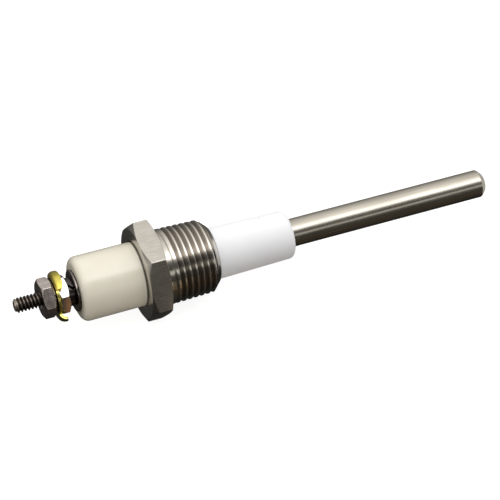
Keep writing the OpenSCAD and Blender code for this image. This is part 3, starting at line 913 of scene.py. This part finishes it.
# Brightness round the axis, by degrees from straight up, positive towards the front
SURROUNDINGS = [
    (-180, (0.02, 0.02, 0.019)), (-150, (0.03, 0.03, 0.028)), (-125, (0.10, 0.097, 0.09)),
    (-100, (0.24, 0.235, 0.22)), (-85, (0.46, 0.445, 0.42)), (-60, (0.74, 0.72, 0.68)),
    (-40, (1.0, 0.975, 0.93)), (-22, (1.22, 1.2, 1.14)), (-8, (1.6, 1.57, 1.5)), (2, (2.3, 2.28, 2.23)),
    (9, (2.7, 2.68, 2.63)), (18, (2.7, 2.68, 2.63)), (22.5, (1.1, 1.08, 1.04)), (27, (0.30, 0.29, 0.275)),
    (36, (0.13, 0.125, 0.115)), (48, (0.075, 0.07, 0.062)), (54, (0.10, 0.095, 0.085)),
    (57.5, (0.70, 0.685, 0.64)), (66, (0.70, 0.685, 0.64)), (70, (0.10, 0.095, 0.085)),
    (84, (0.06, 0.055, 0.047)), (125, (0.06, 0.048, 0.035)), (180, (0.02, 0.02, 0.019)),
]

# Warm cards in front, seen only in reflections: two places along X, the height of the lower and
# of the upper edge, in millimetres, and the colour
CARD_Y = -55
CARDS = [
    (15.0, 19.5, -9.0, 3.5, (0.66, 0.53, 0.38)),
    (15.0, 19.5, -23.0, -9.0, (0.34, 0.235, 0.12)),
    (-10.0, 2.0, -62.0, -26.0, (0.21, 0.115, 0.06)),
]
# A square card past the rod's tip that lights its chamfer
TIP_CARD_AWAY = 41 * MM
TIP_CARD_HALF = 50 * MM
TIP_CARD_COLOUR = (0.62, 0.61, 0.58)


def make_world():
    """Surroundings whose colour depends only on the angle about the X axis, from a ramp."""
    world = bpy.data.worlds.new("surroundings")
    bpy.context.scene.world = world
    world.use_nodes = True
    tree = world.node_tree
    tree.nodes.clear()
    out = tree.nodes.new("ShaderNodeOutputWorld")
    sky = tree.nodes.new("ShaderNodeBackground")
    where = tree.nodes.new("ShaderNodeTexCoord")
    parts = tree.nodes.new("ShaderNodeSeparateXYZ")
    flip = tree.nodes.new("ShaderNodeMath")
    flip.operation = "MULTIPLY"
    flip.inputs[1].default_value = -1
    turn = tree.nodes.new("ShaderNodeMath")
    turn.operation = "ARCTAN2"
    share = tree.nodes.new("ShaderNodeMapRange")
    share.inputs[1].default_value, share.inputs[2].default_value = -math.pi, math.pi
    ramp = tree.nodes.new("ShaderNodeValToRGB")
    while len(ramp.color_ramp.elements) < len(SURROUNDINGS):
        ramp.color_ramp.elements.new(0.5)
    for element, (degrees, colour) in zip(ramp.color_ramp.elements, SURROUNDINGS):
        element.position = (degrees + 180) / 360
        element.color = (*colour, 1)
    tree.links.new(where.outputs["Generated"], parts.inputs[0])
    tree.links.new(parts.outputs[1], flip.inputs[0])
    tree.links.new(flip.outputs[0], turn.inputs[0])
    tree.links.new(parts.outputs[2], turn.inputs[1])
    tree.links.new(turn.outputs[0], share.inputs[0])
    tree.links.new(share.outputs[0], ramp.inputs[0])
    tree.links.new(ramp.outputs[0], sky.inputs[0])
    tree.links.new(sky.outputs[0], out.inputs[0])


def glow(name, colour):
    """A plain lit material for the stage."""
    material = bpy.data.materials.new(name)
    material.use_nodes = True
    tree = material.node_tree
    tree.nodes.clear()
    out = tree.nodes.new("ShaderNodeOutputMaterial")
    light = tree.nodes.new("ShaderNodeEmission")
    light.inputs[0].default_value = (*colour, 1)
    light.inputs[1].default_value = 1
    tree.links.new(light.outputs[0], out.inputs[0])
    return material


def floor_paint():
    """Pale matte floor that also gives off some light, so that shadows on it stay faint."""
    f = Finish("floor_paint", roughness=0.9, specular_ior_level=0.1, emission_strength=0.9)
    f.shader.inputs["Base Color"].default_value = (0.3, 0.3, 0.3, 1)
    f.shader.inputs["Emission Color"].default_value = (1, 1, 1, 1)
    return f.material


def sheet(name, corners, material):
    """A flat stage sheet from its corners."""
    mesh = bpy.data.meshes.new(name)
    mesh.from_pydata(corners, [], [list(range(len(corners)))])
    mesh.materials.append(material)
    piece = bpy.data.objects.new(name, mesh)
    bpy.context.scene.collection.objects.link(piece)
    piece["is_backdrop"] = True
    return piece


def hide_from(piece, **rays):
    for key, seen in rays.items():
        setattr(piece, "visible_" + key, seen)


def make_stage():
    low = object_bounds()[0]
    reach = 4.0
    z = low.z - 0.02 * MM
    floor = sheet("floor", [(-reach, -reach, z), (reach, -reach, z), (reach, reach, z), (-reach, reach, z)],
                  floor_paint())
    hide_from(floor, glossy=False, diffuse=False)
    a = even(48)
    b = np.linspace(-math.pi / 2, math.pi / 2, 25)
    radius = 3.5
    dome = np.stack([radius * np.cos(b)[:, None] * np.cos(a)[None],
                     radius * np.cos(b)[:, None] * np.sin(a)[None],
                     radius * np.sin(b)[:, None] * np.ones_like(a)[None]], -1)
    backdrop = woven("backdrop", dome)
    backdrop.data.materials.append(glow("backdrop_paint", (1, 1, 1)))
    backdrop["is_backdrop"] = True
    hide_from(backdrop, glossy=False, diffuse=False, shadow=False, transmission=False)
    for i, (x0, x1, z0, z1, colour) in enumerate(CARDS):
        y = CARD_Y
        corners = [Vector(c) * MM for c in ((x0, y, z0), (x1, y, z0), (x1, y, z1), (x0, y, z1))]
        card = sheet(f"card_{i}", corners, glow(f"card_paint_{i}", colour))
        hide_from(card, camera=False, diffuse=False, shadow=False)
    x, half = ROD_HIGH.x + TIP_CARD_AWAY, TIP_CARD_HALF
    corners = [(x, -half, -half), (x, -half, half), (x, half, half), (x, half, -half)]
    tip_card = sheet("tip_card", corners, glow("tip_card_paint", TIP_CARD_COLOUR))
    hide_from(tip_card, camera=False, diffuse=False, shadow=False)


def make_fill():
    """A soft light from below the front that stands for light thrown back by the table."""
    data = bpy.data.lights.new("fill", "SUN")
    data.energy, data.angle = 1.1, math.radians(90)
    data.color = (1.0, 0.95, 0.88)
    data.use_shadow = False
    fill = bpy.data.objects.new("fill", data)
    fill.rotation_euler = Vector((0, -0.72, -0.70)).to_track_quat("Z", "Y").to_euler()
    fill.visible_glossy = False
    bpy.context.scene.collection.objects.link(fill)


make_world()
make_fill()
make_stage()

scene = bpy.context.scene
scene.view_settings.view_transform = "Standard"
scene.view_settings.look = "None"
